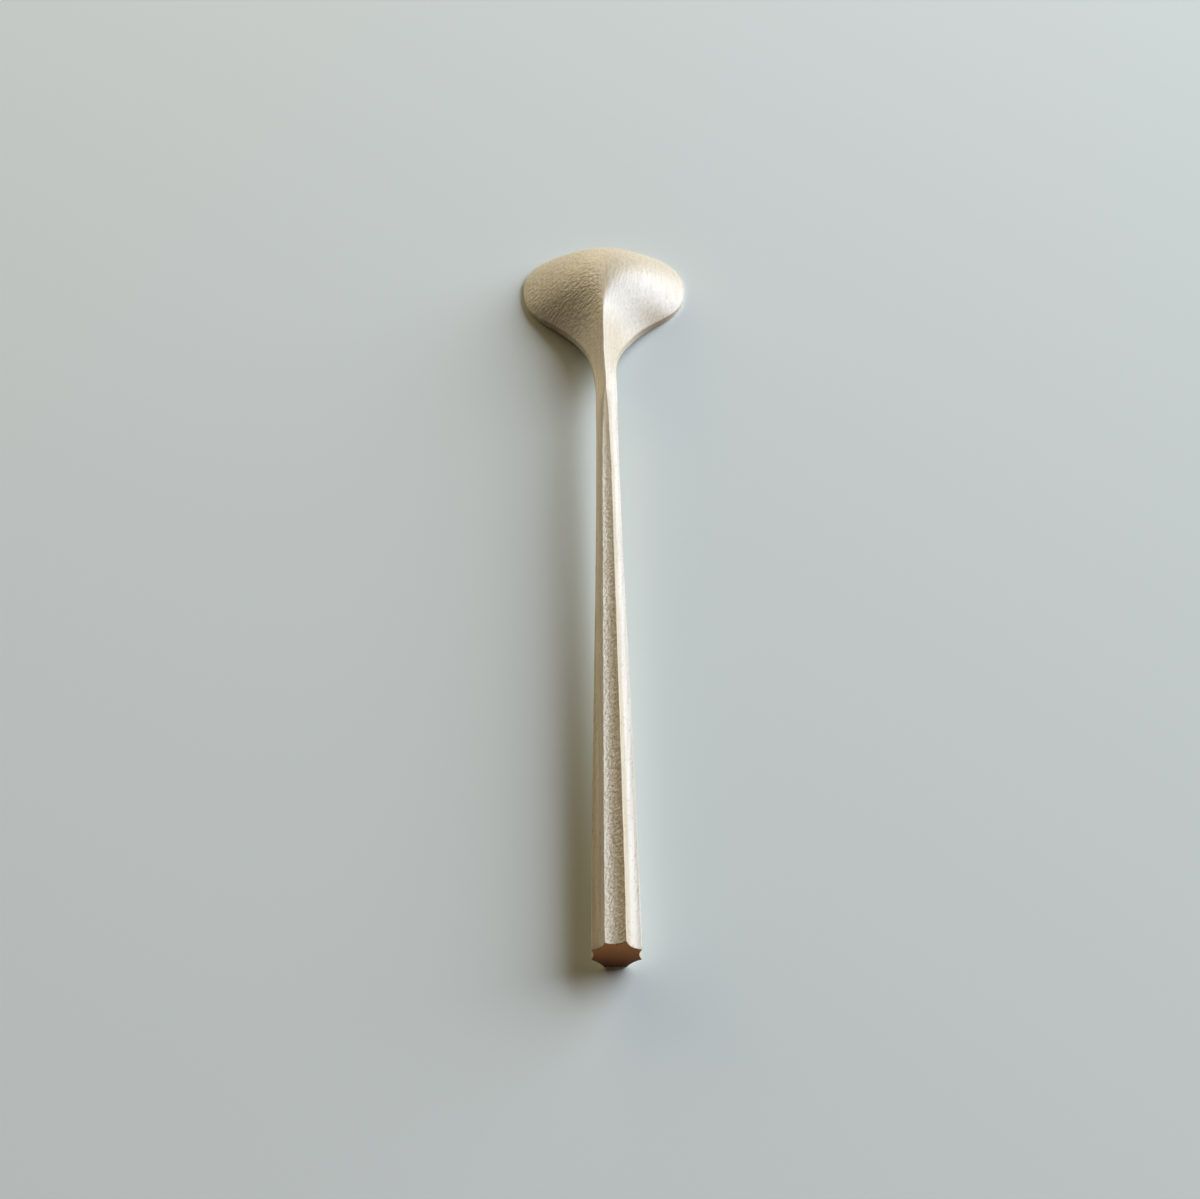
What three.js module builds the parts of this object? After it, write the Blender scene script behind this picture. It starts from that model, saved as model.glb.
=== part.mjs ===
// A wooden spoon carved from one billet, lying on its rim with the back of the bowl up.
// Millimetres, +Z up. The handle lies along Y and the tip of the bowl points to +Y.
// The origin is on the surface that carries the spoon, under the middle of its length.
//
// A station s is a distance along the spoon, from the handle's end face toward the tip.
// Each cross section starts as an octagon whose corners are ridges and whose sides are
// gouged into flutes. Toward the bowl the top flute runs out into one keel, the side
// flutes become the upright edge of the rim, and the underside opens into the hollow.

import * as THREE from 'three';
import { mergeVertices, toCreasedNormals } from 'three/addons/utils/BufferGeometryUtils.js';

// Lengths along the spoon.
const HANDLE_LENGTH = 138; // end face to the start of the shoulders
const SHOULDER_LENGTH = 45; // start of the shoulders to the widest part of the bowl
const BOWL_FRONT_LENGTH = 14.7; // widest part to the tip

// Widths.
const HANDLE_END_WIDTH = 8.7;
const NECK_WIDTH = 4.6;
const BOWL_WIDTH = 37.2;
const TIP_FULLNESS = 2.1; // exponent of the front outline, 2 is an ellipse

// Heights above the surface that the spoon lies on.
const HANDLE_END_HEIGHT = 7.9;
const BACK_HEIGHT = 11.8; // top of the bowl's back
const NECK_CLEARANCE = 5.7; // under the neck

// Flutes of the handle.
const GOUGE_RADIUS = 2.6;
const TOP_FLUTE_SHARE = 0.43; // width of the top flute as a share of the handle's width
const SIDE_FLUTE_SHARE = 0.38; // height of the side flute as a share of the handle's height
const FLUTE_END = 136; // station where the top and bottom flutes have closed
const FLUTE_RUNOUT = 36; // length over which they close
const FLUTE_FADE = 26; // length over which the other flutes turn flat, round that station
const UNDER_FLUTE_SHARE = 0.5; // depth of the three lower flutes as a share of the upper ones

// Bowl.
const RIM_EDGE = 0.9; // height of the rim's upright edge at the front
const SHOULDER_EDGE = 1.5; // height of the same edge at the shoulders
const EDGE_THINS = 15; // the edge starts to thin this far behind the widest part
const RIM_LAND = 1.35; // flat ring that the bowl lies on
const WALL = 3; // wood between the hollow and the back, at the deepest point
const HOLLOW_REAR = 23.5; // rear end of the hollow, behind the widest part
const HOLLOW_DEEPEST = 5; // deepest point, behind the widest part
const HOLLOW_HEEL_RADIUS = 4.5; // round of the hollow's rear end, seen from below
const HEEL_RISE = 5; // where the rim leaves the surface, behind the widest part

// Keel on the bowl's back, and the back's fall toward the tip.
const KEEL_SHARP_TO = 25; // the keel starts to soften this far behind the widest part
const KEEL_GONE_AT = 3; // and is gone this far behind it
const KEEL_SOFTNESS = 0.25; // rounding of the fading keel, as a share of the half width
const BACK_FALL_START = 13; // the back starts to fall this far behind the widest part
const BACK_FALL_POWER = 2.8;
const BACK_CROWN_RATIO = 1.15; // 1 is a parabola across the bowl, more is flatter at the rim
const HOLLOW_POWER = 2.2;
const LAND_BLEND_POWER = 6; // how tightly the hollow's outline turns from its heel to the land
const HEEL_SPREAD_RATIO = 2; // sideways growth of the heel's outline per millimetre forward

// Handles of the profile curves, as shares of their length and of their change in value.
const TAPER_CURVE = { leavesShare: 0.36, arrivesShare: 0.65, drawnShare: 0.21 };
const FLARE_CURVE = { leavesShare: 0.8, arrivesShare: 0.61, drawnShare: 0 };
const SPINE_CURVE = { leavesShare: 0.35, arrivesShare: 0.72, drawnShare: 0.1 };
const ARCH_UP_CURVE = { leavesShare: 0.35, arrivesShare: 0.65, drawnShare: 0.2 };
const ARCH_DOWN_CURVE = { leavesShare: 0.34, arrivesShare: 0.6, drawnShare: 0 };

// Steps of the mesh.
const GRIP_STEPS = 14;
const RUNOUT_STEPS = 9;
const NECK_STEPS = 9;
const HOLLOW_STEPS = 14;
const FRONT_STEPS = 13;
const CREST_STEPS = 4;
const SLOPE_STEPS = 8;
const BAND_STEPS = 2;
const UNDER_STEPS = 4;
const MOUTH_STEPS = 7;
const KEEL_STRIP_SHARE = 0.04; // narrowest strip kept beside a ridge that has closed
const BACK_STRIP_SHARE = 0.16; // the same strip on the bowl
const HALVING_STEPS = 40; // steps of the search along a profile curve
const TANGENT_STEP = 0.05;
const SHARED_WITHIN = 1e-4; // vertices closer than this are one
const CREASE_ANGLE = Math.PI / 9;

const WIDEST = HANDLE_LENGTH + SHOULDER_LENGTH;
const LENGTH = WIDEST + BOWL_FRONT_LENGTH;
const RIM_START = WIDEST - HEEL_RISE;
const HOLLOW_START = WIDEST - HOLLOW_REAR;
const HOLLOW_FRONT_LENGTH = BOWL_FRONT_LENGTH - RIM_LAND;
const HOLLOW_DEPTH = BACK_HEIGHT - WALL;
const RUNOUT_START = FLUTE_END - FLUTE_RUNOUT;
const BACK_FALL = WIDEST - BACK_FALL_START;

const { clamp, lerp } = THREE.MathUtils;
const ease = (s, from, to) => THREE.MathUtils.smoothstep(s, from, to);

// A smooth profile curve between two points, each [station, value]. Its first handle is at
// `leavesShare` of the length, drawn toward the last value by `drawnShare`, and its second
// one is at `arrivesShare` of the length, level with the last value.
function profile([from, start], [to, end], { leavesShare, arrivesShare, drawnShare }) {
  return new THREE.CubicBezierCurve(
    new THREE.Vector2(from, start),
    new THREE.Vector2(lerp(from, to, leavesShare), lerp(start, end, drawnShare)),
    new THREE.Vector2(lerp(from, to, arrivesShare), end),
    new THREE.Vector2(to, end),
  );
}

// Value of a profile curve at station s, found by halving the range of its parameter.
function valueAt(curve, s) {
  let low = 0;
  let high = 1;
  for (let halving = 0; halving < HALVING_STEPS; halving += 1) {
    const middle = (low + high) / 2;
    if (curve.getPoint(middle).x < s) low = middle;
    else high = middle;
  }
  return curve.getPoint(low).y;
}

// Half width of the handle, which tapers in a long S from the end to the neck.
const taper = profile([0, HANDLE_END_WIDTH / 2], [HANDLE_LENGTH, NECK_WIDTH / 2], TAPER_CURVE);

// Half width of the shoulders, which stay thin for long and then flare quickly.
const flare = profile([HANDLE_LENGTH, NECK_WIDTH / 2], [WIDEST, BOWL_WIDTH / 2], FLARE_CURVE);

// Line along the top of the spoon up to where the bowl's back starts to fall.
const spine = profile([0, HANDLE_END_HEIGHT], [BACK_FALL, BACK_HEIGHT], SPINE_CURVE);

// Line along the underside: the handle arches up to the neck and comes down to the rim.
const archUp = profile([0, 0], [HANDLE_LENGTH, NECK_CLEARANCE], ARCH_UP_CURVE);
const archDown = profile([HANDLE_LENGTH, NECK_CLEARANCE], [RIM_START, 0], ARCH_DOWN_CURVE);

// Half width of a superellipse at a distance from its middle.
function ellipseWidth(distance, halfWidth, halfLength) {
  const share = clamp(distance / halfLength, 0, 1);
  return halfWidth * (1 - share ** TIP_FULLNESS) ** (1 / TIP_FULLNESS);
}

function halfWidth(s) {
  if (s > WIDEST) return ellipseWidth(s - WIDEST, BOWL_WIDTH / 2, BOWL_FRONT_LENGTH);
  return s > HANDLE_LENGTH ? valueAt(flare, s) : valueAt(taper, s);
}

function topHeight(s) {
  if (s <= BACK_FALL) return valueAt(spine, s);
  const share = (s - BACK_FALL) / (LENGTH - BACK_FALL);
  return BACK_HEIGHT - (BACK_HEIGHT - RIM_EDGE) * share ** BACK_FALL_POWER;
}

function underHeight(s) {
  if (s >= RIM_START) return 0;
  return s > HANDLE_LENGTH ? valueAt(archDown, s) : valueAt(archUp, s);
}

// Lower and upper edge of the side band, which is a flute on the handle, level with its
// middle, and the upright edge of the rim on the bowl.
function bandHeights(s) {
  const height = topHeight(s) - underHeight(s);
  const edge = lerp(SHOULDER_EDGE, RIM_EDGE, ease(s, WIDEST - EDGE_THINS, WIDEST));
  const band = lerp(SIDE_FLUTE_SHARE * height, edge, ease(s, RUNOUT_START, HOLLOW_START));
  const lift = 1 - ease(s, FLUTE_END, HOLLOW_START + HOLLOW_HEEL_RADIUS);
  const lower = underHeight(s) + (lift * (height - band)) / 2;
  return { lower, upper: lower + band };
}

// Half width of the top and bottom flutes as a share of the section's half width. It is
// drawn in like the end of an ellipse where the gouge was lifted.
function fluteShare(s) {
  const share = clamp((s - RUNOUT_START) / FLUTE_RUNOUT, 0, 1);
  return TOP_FLUTE_SHARE * Math.sqrt(1 - share * share);
}

// How hollow the flutes are, from 1 on the handle to 0 on the bowl.
const fluteDepth = (s) => 1 - ease(s, FLUTE_END - FLUTE_FADE / 2, FLUTE_END + FLUTE_FADE / 2);

// Height across one half of the back, from 1 at the middle to 0 at the rim, at share r of
// the half width: two straight slopes that meet in the keel, turning into one crown.
function backProfile(s, r) {
  const keel = 1 - ease(s, WIDEST - KEEL_SHARP_TO, WIDEST - KEEL_GONE_AT);
  const soft = KEEL_SOFTNESS * (1 - keel);
  const slope = (Math.hypot(r, soft) - soft) / (Math.hypot(1, soft) - soft);
  const crown = BACK_CROWN_RATIO * r ** 2 + (1 - BACK_CROWN_RATIO) * r ** 4;
  return 1 - keel * slope - (1 - keel) * crown;
}

// Height of the upper surface at x, before the flutes are cut.
function backHeight(x, s) {
  const half = halfWidth(s);
  const ridge = fluteShare(s) * half;
  const { upper } = bandHeights(s);
  const r = half > ridge ? clamp((x - ridge) / (half - ridge), 0, 1) : 1;
  return upper + (topHeight(s) - upper) * backProfile(s, r);
}

// Half width of the hollow: the rim's outline less the land, with a rounded rear end.
function hollowWidth(s) {
  if (s > WIDEST) {
    return ellipseWidth(s - WIDEST, BOWL_WIDTH / 2 - RIM_LAND, HOLLOW_FRONT_LENGTH);
  }
  const ahead = s - HOLLOW_START;
  if (ahead <= 0) return 0;
  const tangent = (halfWidth(s) - halfWidth(s - TANGENT_STEP)) / TANGENT_STEP;
  const inside = halfWidth(s) - RIM_LAND * Math.hypot(1, tangent);
  const heel = Math.sqrt(2 * HOLLOW_HEEL_RADIUS * ahead + (HEEL_SPREAD_RATIO * ahead) ** 2);
  return (inside ** -LAND_BLEND_POWER + heel ** -LAND_BLEND_POWER) ** (-1 / LAND_BLEND_POWER);
}

// Depth of the hollow along its middle line.
function hollowDepth(s) {
  const deepest = WIDEST - HOLLOW_DEEPEST;
  const reach = s < deepest ? deepest - HOLLOW_START : WIDEST + HOLLOW_FRONT_LENGTH - deepest;
  return HOLLOW_DEPTH * (1 - Math.min(Math.abs(s - deepest) / reach, 1) ** HOLLOW_POWER);
}

// Height of the lower surface outside the hollow, before the flutes are cut.
function landHeight(x, s) {
  const half = halfWidth(s);
  const ridge = fluteShare(s) * half;
  const r = half > ridge ? clamp((x - ridge) / (half - ridge), 0, 1) : 1;
  return lerp(underHeight(s), bandHeights(s).lower, r);
}

function hollowHeight(x, s) {
  const edge = hollowWidth(s);
  if (edge <= 0) return landHeight(x, s);
  const r = Math.min(x / edge, 1);
  return landHeight(edge, s) + hollowDepth(s) * (1 - r ** HOLLOW_POWER);
}

// Sag of a gouged flute under its chord.
const sagOf = (chord) => chord ** 2 / (8 * GOUGE_RADIUS);

// Cuts a flute into the points from one ridge to the next: each moves square to the chord
// by a parabola's share of the sag.
function cutFlute(points, depth) {
  const first = points[0];
  const last = points[points.length - 1];
  const chord = new THREE.Vector2(last.x - first.x, last.z - first.z);
  const sag = sagOf(chord.length()) * depth;
  const inward = new THREE.Vector2(chord.y, -chord.x).normalize().multiplyScalar(sag);
  points.forEach((point, index) => {
    const share = index / (points.length - 1);
    point.x += inward.x * 4 * share * (1 - share);
    point.z += inward.y * 4 * share * (1 - share);
  });
}

// Points at even steps between two distances from the middle, both ends included.
function spread(from, to, steps, pointAt) {
  return Array.from({ length: steps + 1 }, (_, index) => pointAt(lerp(from, to, index / steps)));
}

// Half of a section, from the middle of the top round to the middle of the underside. The
// section is cut by an upright plane through (0, origin) in a direction given by its
// cosine and sine: straight across for the handle, fanned for the front of the bowl.
function halfSection({ origin, cosine, sine, reach, hollowReach }) {
  const at = (distance, height) => {
    const x = distance * cosine;
    const s = origin + distance * sine;
    return new THREE.Vector3(x, s, height(x, s));
  };
  const strip = lerp(KEEL_STRIP_SHARE, BACK_STRIP_SHARE, ease(origin, HANDLE_LENGTH, WIDEST));
  const crestReach = Math.max(fluteShare(origin), strip) * reach;
  const underReach = Math.max(fluteShare(origin) * reach, KEEL_STRIP_SHARE * reach, hollowReach);
  const rim = at(reach, () => 0);
  const { lower, upper } = bandHeights(origin);

  const crest = spread(crestReach, 0, CREST_STEPS, (d) => at(d, backHeight));
  const slope = spread(crestReach, reach, SLOPE_STEPS, (d) => at(d, backHeight));
  const band = spread(upper, lower, BAND_STEPS, (z) => rim.clone().setZ(z));
  const under = spread(reach, underReach, UNDER_STEPS, (d) => at(d, landHeight));
  const hollow = spread(underReach, 0, MOUTH_STEPS, (d) => at(d, hollowHeight));

  const depth = fluteDepth(origin);
  cutFlute(slope, depth);
  cutFlute(band, depth);
  cutFlute(under, depth * UNDER_FLUTE_SHARE);
  if (origin < FLUTE_END) {
    cutCrest(crest, 1);
    cutCrest(hollow, -UNDER_FLUTE_SHARE);
  }
  const rest = [slope, band, under, hollow].flatMap((points) => points.slice(1));
  return [...crest.reverse(), ...rest];
}

// Cuts the flute between the two top ridges, or with a negative depth the one between the
// two bottom ridges. The points run from a ridge to the middle.
function cutCrest(points, depth) {
  const reach = points[0].x;
  points.forEach((point) => {
    point.z -= depth * sagOf(2 * reach) * (1 - (point.x / reach) ** 2);
  });
}

// Stations of the sections that lie straight across, closer together where a flute runs
// out and where the hollow opens.
function crossStations() {
  const quarter = Math.PI / 2;
  const stations = [];
  for (let i = 0; i < GRIP_STEPS; i += 1) stations.push((RUNOUT_START * i) / GRIP_STEPS);
  for (let i = 0; i < RUNOUT_STEPS; i += 1) {
    stations.push(RUNOUT_START + FLUTE_RUNOUT * Math.sin((quarter * i) / RUNOUT_STEPS));
  }
  for (let i = 0; i < NECK_STEPS; i += 1) stations.push(lerp(FLUTE_END, HOLLOW_START, i / NECK_STEPS));
  for (let i = 0; i <= HOLLOW_STEPS; i += 1) {
    stations.push(HOLLOW_START + HOLLOW_REAR * (1 - Math.cos((quarter * i) / HOLLOW_STEPS)));
  }
  return stations;
}

// Distance from the middle of the bowl's front to a superellipse, in a given direction.
function ellipseReach(cosine, sine, halfWidthAcross, halfLength) {
  const across = (cosine / halfWidthAcross) ** TIP_FULLNESS;
  const along = (sine / halfLength) ** TIP_FULLNESS;
  return (across + along) ** (-1 / TIP_FULLNESS);
}

function frontSection(turn) {
  const cosine = turn < 1 ? Math.cos((turn * Math.PI) / 2) : 0;
  const sine = Math.sin((turn * Math.PI) / 2);
  return halfSection({
    origin: WIDEST,
    cosine,
    sine,
    reach: ellipseReach(cosine, sine, BOWL_WIDTH / 2, BOWL_FRONT_LENGTH),
    hollowReach: ellipseReach(cosine, sine, BOWL_WIDTH / 2 - RIM_LAND, HOLLOW_FRONT_LENGTH),
  });
}

function allSections() {
  const across = crossStations().map((s) =>
    halfSection({ origin: s, cosine: 1, sine: 0, reach: halfWidth(s), hollowReach: hollowWidth(s) }),
  );
  const fanned = Array.from({ length: FRONT_STEPS }, (_, i) => frontSection((i + 1) / FRONT_STEPS));
  return [...across, ...fanned];
}

// Triangles of the right half, and with side -1 of its mirror image.
function halfTriangles(sections, side) {
  const triangles = [];
  const add = (...corners) => triangles.push(...(side > 0 ? corners : corners.reverse()));
  for (let i = 0; i + 1 < sections.length; i += 1) {
    for (let j = 0; j + 1 < sections[i].length; j += 1) {
      const here = sections[i];
      const next = sections[i + 1];
      add(here[j], here[j + 1], next[j + 1]);
      add(here[j], next[j + 1], next[j]);
    }
  }
  const end = sections[0];
  const middle = new THREE.Vector3(0, 0, (end[0].z + end[end.length - 1].z) / 2);
  for (let j = 0; j + 1 < end.length; j += 1) add(middle, end[j + 1], end[j]);
  return triangles.flatMap(({ x, y, z }) => [side * x, y - LENGTH / 2, z]);
}

// Shares the vertices and drops the triangles that close up where sections meet.
function closedGeometry(positions) {
  const loose = new THREE.BufferGeometry();
  loose.setAttribute('position', new THREE.Float32BufferAttribute(positions, 3));
  const merged = mergeVertices(loose, SHARED_WITHIN);
  const { array } = merged.index;
  const kept = [];
  for (let i = 0; i < array.length; i += 3) {
    const [a, b, c] = array.slice(i, i + 3);
    if (a !== b && b !== c && a !== c) kept.push(a, b, c);
  }
  merged.setIndex(kept);
  return merged;
}

function makeSpoon() {
  const sections = allSections();
  const positions = [...halfTriangles(sections, 1), ...halfTriangles(sections, -1)];
  const geometry = toCreasedNormals(closedGeometry(positions), CREASE_ANGLE);
  const maple = new THREE.MeshStandardMaterial({ color: 0xd8c3a0, roughness: 0.5, metalness: 0 });
  const spoon = new THREE.Mesh(geometry, maple);
  spoon.name = 'spoon';
  return spoon;
}

const model = new THREE.Group();
model.add(makeSpoon());

export default model;
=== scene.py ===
"""A wooden spoon carved from one billet of maple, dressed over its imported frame.

Shapes are worked out in millimetres, as a carver would measure them, and go into the meshes
in metres. The spoon lies on its rim with the back of the bowl up. Its handle runs along Y
and the tip of the bowl points to +Y. A station is a distance along the spoon in millimetres
from the handle's end face, and a section is the cut across the spoon at a station.
"""

import logging
import math
from collections.abc import Callable, Mapping
from dataclasses import dataclass, field
from typing import Any

import bmesh
import bpy
import numpy as np
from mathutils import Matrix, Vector
from numpy.typing import NDArray


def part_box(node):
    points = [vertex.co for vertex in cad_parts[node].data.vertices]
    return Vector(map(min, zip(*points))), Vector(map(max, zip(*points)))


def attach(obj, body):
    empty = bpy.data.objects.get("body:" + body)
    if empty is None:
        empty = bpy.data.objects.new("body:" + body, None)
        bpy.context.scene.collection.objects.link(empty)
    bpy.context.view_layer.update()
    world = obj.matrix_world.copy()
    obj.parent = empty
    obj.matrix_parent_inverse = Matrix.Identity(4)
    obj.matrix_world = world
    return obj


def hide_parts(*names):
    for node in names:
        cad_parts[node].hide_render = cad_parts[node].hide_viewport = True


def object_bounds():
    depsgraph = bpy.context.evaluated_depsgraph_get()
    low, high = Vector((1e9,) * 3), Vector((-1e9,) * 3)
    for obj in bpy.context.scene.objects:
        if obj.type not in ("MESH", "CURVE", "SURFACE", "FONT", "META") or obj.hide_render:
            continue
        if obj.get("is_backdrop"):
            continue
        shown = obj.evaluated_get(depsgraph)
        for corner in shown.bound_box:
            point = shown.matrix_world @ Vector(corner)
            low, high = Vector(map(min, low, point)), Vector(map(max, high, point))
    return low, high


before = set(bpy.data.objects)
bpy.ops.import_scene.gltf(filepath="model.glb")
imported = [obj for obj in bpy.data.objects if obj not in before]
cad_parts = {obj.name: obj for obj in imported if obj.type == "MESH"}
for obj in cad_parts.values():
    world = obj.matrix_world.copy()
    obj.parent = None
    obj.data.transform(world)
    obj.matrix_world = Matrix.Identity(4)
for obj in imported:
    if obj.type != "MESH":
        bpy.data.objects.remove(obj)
CAD_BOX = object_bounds()

Array = NDArray[np.float64]
Facet = Callable[[Array], Array]
Colour = tuple[float, float, float, float]
Tree = bpy.types.NodeTree
Socket = bpy.types.NodeSocket

log = logging.getLogger("spoon")

MM = 0.001
NODE = "spoon"
BODY = "root"
FLUTE_ATTRIBUTE = "top_flute"
CURVE_SAMPLES = 4001

# TINY keeps a division by a width of 0 finite
TINY = 1e-9

# The facet is in millimetres, and the distance at which points merge is in metres
SHORTEST_FACET = 1e-6
MERGE_DISTANCE = 1e-7

CHANNEL_FULL = 255.0
SRGB_KNEE = 0.04045
SRGB_SLOPE = 12.92
SRGB_SHIFT = 0.055
SRGB_POWER = 2.4


def mix(low: Any, high: Any, share: Any) -> Any:
    """Goes from low at share 0 to high at share 1 in a straight line."""
    return low + (high - low) * share


def ease(station: Any, start: float, end: float) -> Any:
    """Goes smoothly from 0 at start to 1 at end, as 3 t^2 - 2 t^3, with t the share of the way."""
    share = np.clip((station - start) / (end - start), 0.0, 1.0)
    return share * share * (3.0 - 2.0 * share)


def linear(code: str) -> Colour:
    """Turns an sRGB colour code into the linear colour that the shaders take.

    A channel c becomes c / s up to the knee and ((c + a) / (1 + a))^p above it, with s the
    slope, a the shift and p the power.

    Args:
        code: Colour such as "#d8c3a0".

    Returns:
        Linear red, green and blue, and an alpha of 1.
    """
    channels = np.array([int(code[i : i + 2], 16) for i in (1, 3, 5)]) / CHANNEL_FULL
    above = ((channels + SRGB_SHIFT) / (1.0 + SRGB_SHIFT)) ** SRGB_POWER
    red, green, blue = np.where(channels <= SRGB_KNEE, channels / SRGB_SLOPE, above).tolist()
    return red, green, blue, 1.0


@dataclass(frozen=True)
class Curve:
    """A smooth profile between two points, each a station and a value in millimetres.

    Attributes:
        start: First point.
        end: Last point.
        leaves: Place of the first handle, as a share of the length.
        arrives: Place of the second handle, which is level with the last point.
        drawn: How far the first handle is drawn toward the last value, as a share.
    """

    start: tuple[float, float]
    end: tuple[float, float]
    leaves: float
    arrives: float
    drawn: float = 0.0

    def at(self, station: Array) -> Array:
        """Gives the value of the curve at each station.

        It is a cubic Bezier curve: its four points are weighted with the terms of
        ((1 - t) + t)^3, and the value is read between close samples of it.

        Args:
            station: Distances along the spoon.

        Returns:
            The value at each station.
        """
        t = np.linspace(0.0, 1.0, CURVE_SAMPLES)
        weights = np.stack([(1 - t) ** 3, 3 * (1 - t) ** 2 * t, 3 * (1 - t) * t**2, t**3], axis=1)
        (from_s, from_v), (to_s, to_v) = self.start, self.end
        handles = [mix(from_s, to_s, self.leaves), mix(from_s, to_s, self.arrives)]
        values = [from_v, mix(from_v, to_v, self.drawn), to_v, to_v]
        return np.interp(station, weights @ [from_s, *handles, to_s], weights @ values)


@dataclass(frozen=True)
class Plan:
    """Outline of the spoon seen from above. Millimetres.

    Attributes:
        length: Length from the handle's end face to the tip.
        bowl_width: Width of the bowl.
        handle_length: Length from the end face to the neck.
        shoulder_length: Length from the neck to the widest part of the bowl.
        end_width: Width of the handle at its end.
        neck_width: Width at the neck.
        fullness: Power n of the bowl's round front, where 2 is an ellipse and more is fuller.
    """

    length: float
    bowl_width: float
    handle_length: float = 138.0
    shoulder_length: float = 45.0
    end_width: float = 8.7
    neck_width: float = 4.6
    fullness: float = 2.1

    @property
    def widest(self) -> float:
        """Station where the bowl is widest."""
        return self.handle_length + self.shoulder_length

    @property
    def front_length(self) -> float:
        """Length from the widest part of the bowl to its tip."""
        return self.length - self.widest

    def oval(self, ahead: Array, half_width: float, half_length: float) -> Array:
        """Half width of a superellipse: W (1 - (d / L)^n)^(1/n), d ahead of its middle."""
        share = np.clip(ahead / half_length, 0.0, 1.0)
        return half_width * (1.0 - share**self.fullness) ** (1.0 / self.fullness)

    def half_width(self, station: Array) -> Array:
        """Half width of the spoon: a long taper, a quick flare and the bowl's round front.

        Args:
            station: Distances along the spoon.

        Returns:
            The half width at each station.
        """
        end, neck, bowl = self.end_width / 2, self.neck_width / 2, self.bowl_width / 2
        join = (self.handle_length, neck)
        taper = Curve((0.0, end), join, leaves=0.36, arrives=0.65, drawn=0.21)
        flare = Curve(join, (self.widest, bowl), leaves=0.8, arrives=0.61)
        grip = np.where(station < self.handle_length, taper.at(station), flare.at(station))
        front = self.oval(station - self.widest, bowl, self.front_length)
        return np.where(station > self.widest, front, grip)


@dataclass(frozen=True)
class Flutes:
    """The gouged grooves along the handle. Millimetres.

    Attributes:
        radius: Radius of the gouge.
        under_depth: Depth of the lower flutes, as a share of the upper ones' depth.
        top_share: Half width of the top flute, as a share of the section's half width.
        side_share: Height of the side flutes, as a share of the section's height.
        end: Station where the top flute has closed.
        runout: Length over which it closes.
        fade: Length over which the flutes of the slopes and the sides fade.
    """

    radius: float = 2.6
    under_depth: float = 0.5
    top_share: float = 0.43
    side_share: float = 0.38
    end: float = 136.0
    runout: float = 36.0
    fade: float = 26.0

    @property
    def runout_start(self) -> float:
        """Station where the top and bottom flutes start to close."""
        return self.end - self.runout

    def ridge_share(self, station: Array) -> Array:
        """Half width of the top flute as a share of the section's. It closes like an ellipse's end."""
        share = np.clip((station - self.runout_start) / self.runout, 0.0, 1.0)
        return self.top_share * np.sqrt(1.0 - share**2)

    def depth(self, station: Array) -> Array:
        """Hollowness of the slopes and the sides, from 1 on the handle to 0 on the bowl."""
        return 1.0 - ease(station, self.end - self.fade / 2, self.end + self.fade / 2)

    def sag(self, chord: Array) -> Array:
        """Depth of a flute under its chord: the chord's square over eight times the radius."""
        return chord**2 / (8.0 * self.radius)


@dataclass(frozen=True)
class Hollow:
    """The inside of the bowl, which lies face down. Millimetres.

    Attributes:
        plan: Outline that the hollow follows.
        back_height: Height of the bowl's back.
        land: Width of the flat ring round the hollow.
        wall: Thickness of the wood over the deepest point.
        rear: The hollow starts this far behind the widest part.
        deepest: It is deepest this far behind the widest part.
        heel_radius: Radius of its round rear end.
        heel_spread: Growth of its half width there, for each millimetre ahead.
        blend_power: Power n that joins the heel to the rim's outline.
        power: Power p of the depth, across the hollow and along it.
        tangent_step: Step over which the outline's slope is taken.
    """

    plan: Plan
    back_height: float
    land: float = 1.35
    wall: float = 3.0
    rear: float = 23.5
    deepest: float = 5.0
    heel_radius: float = 4.5
    heel_spread: float = 2.0
    blend_power: float = 6.0
    power: float = 2.2
    tangent_step: float = 0.05

    @property
    def start(self) -> float:
        """Station where the hollow starts."""
        return self.plan.widest - self.rear

    @property
    def front_length(self) -> float:
        """Length from the widest part of the bowl to the hollow's front end."""
        return self.plan.front_length - self.land

    def half_width(self, station: Array) -> Array:
        """Half width of the hollow at its mouth.

        It is the rim's outline moved in by the land, joined to the round heel by the power
        mean (a^-n + b^-n)^(-1/n), which follows the smaller of the two.

        Args:
            station: Distances along the spoon.

        Returns:
            The half width at each station, 0 outside the hollow.
        """
        plan, step = self.plan, self.tangent_step
        front = plan.oval(station - plan.widest, plan.bowl_width / 2 - self.land, self.front_length)
        ahead = np.maximum(station - self.start, TINY)
        half = plan.half_width(station)
        tangent = (half - plan.half_width(station - step)) / step
        inside = np.maximum(half - self.land * np.hypot(1.0, tangent), TINY)
        heel = np.sqrt(2.0 * self.heel_radius * ahead + (self.heel_spread * ahead) ** 2)
        rear = (inside**-self.blend_power + heel**-self.blend_power) ** (-1.0 / self.blend_power)
        rear = np.where(station > self.start, rear, 0.0)
        return np.where(station > plan.widest, front, rear)

    def depth(self, station: Array) -> Array:
        """Depth of the hollow along its middle line.

        The formula is D (1 - u^p), with u the share of the way from the deepest point to
        either end.

        Args:
            station: Distances along the spoon.

        Returns:
            The depth above the land at each station.
        """
        lowest = self.plan.widest - self.deepest
        rear, front = lowest - self.start, self.plan.widest + self.front_length - lowest
        share = np.abs(station - lowest) / np.where(station < lowest, rear, front)
        return (self.back_height - self.wall) * (1.0 - np.minimum(share, 1.0) ** self.power)


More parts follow.
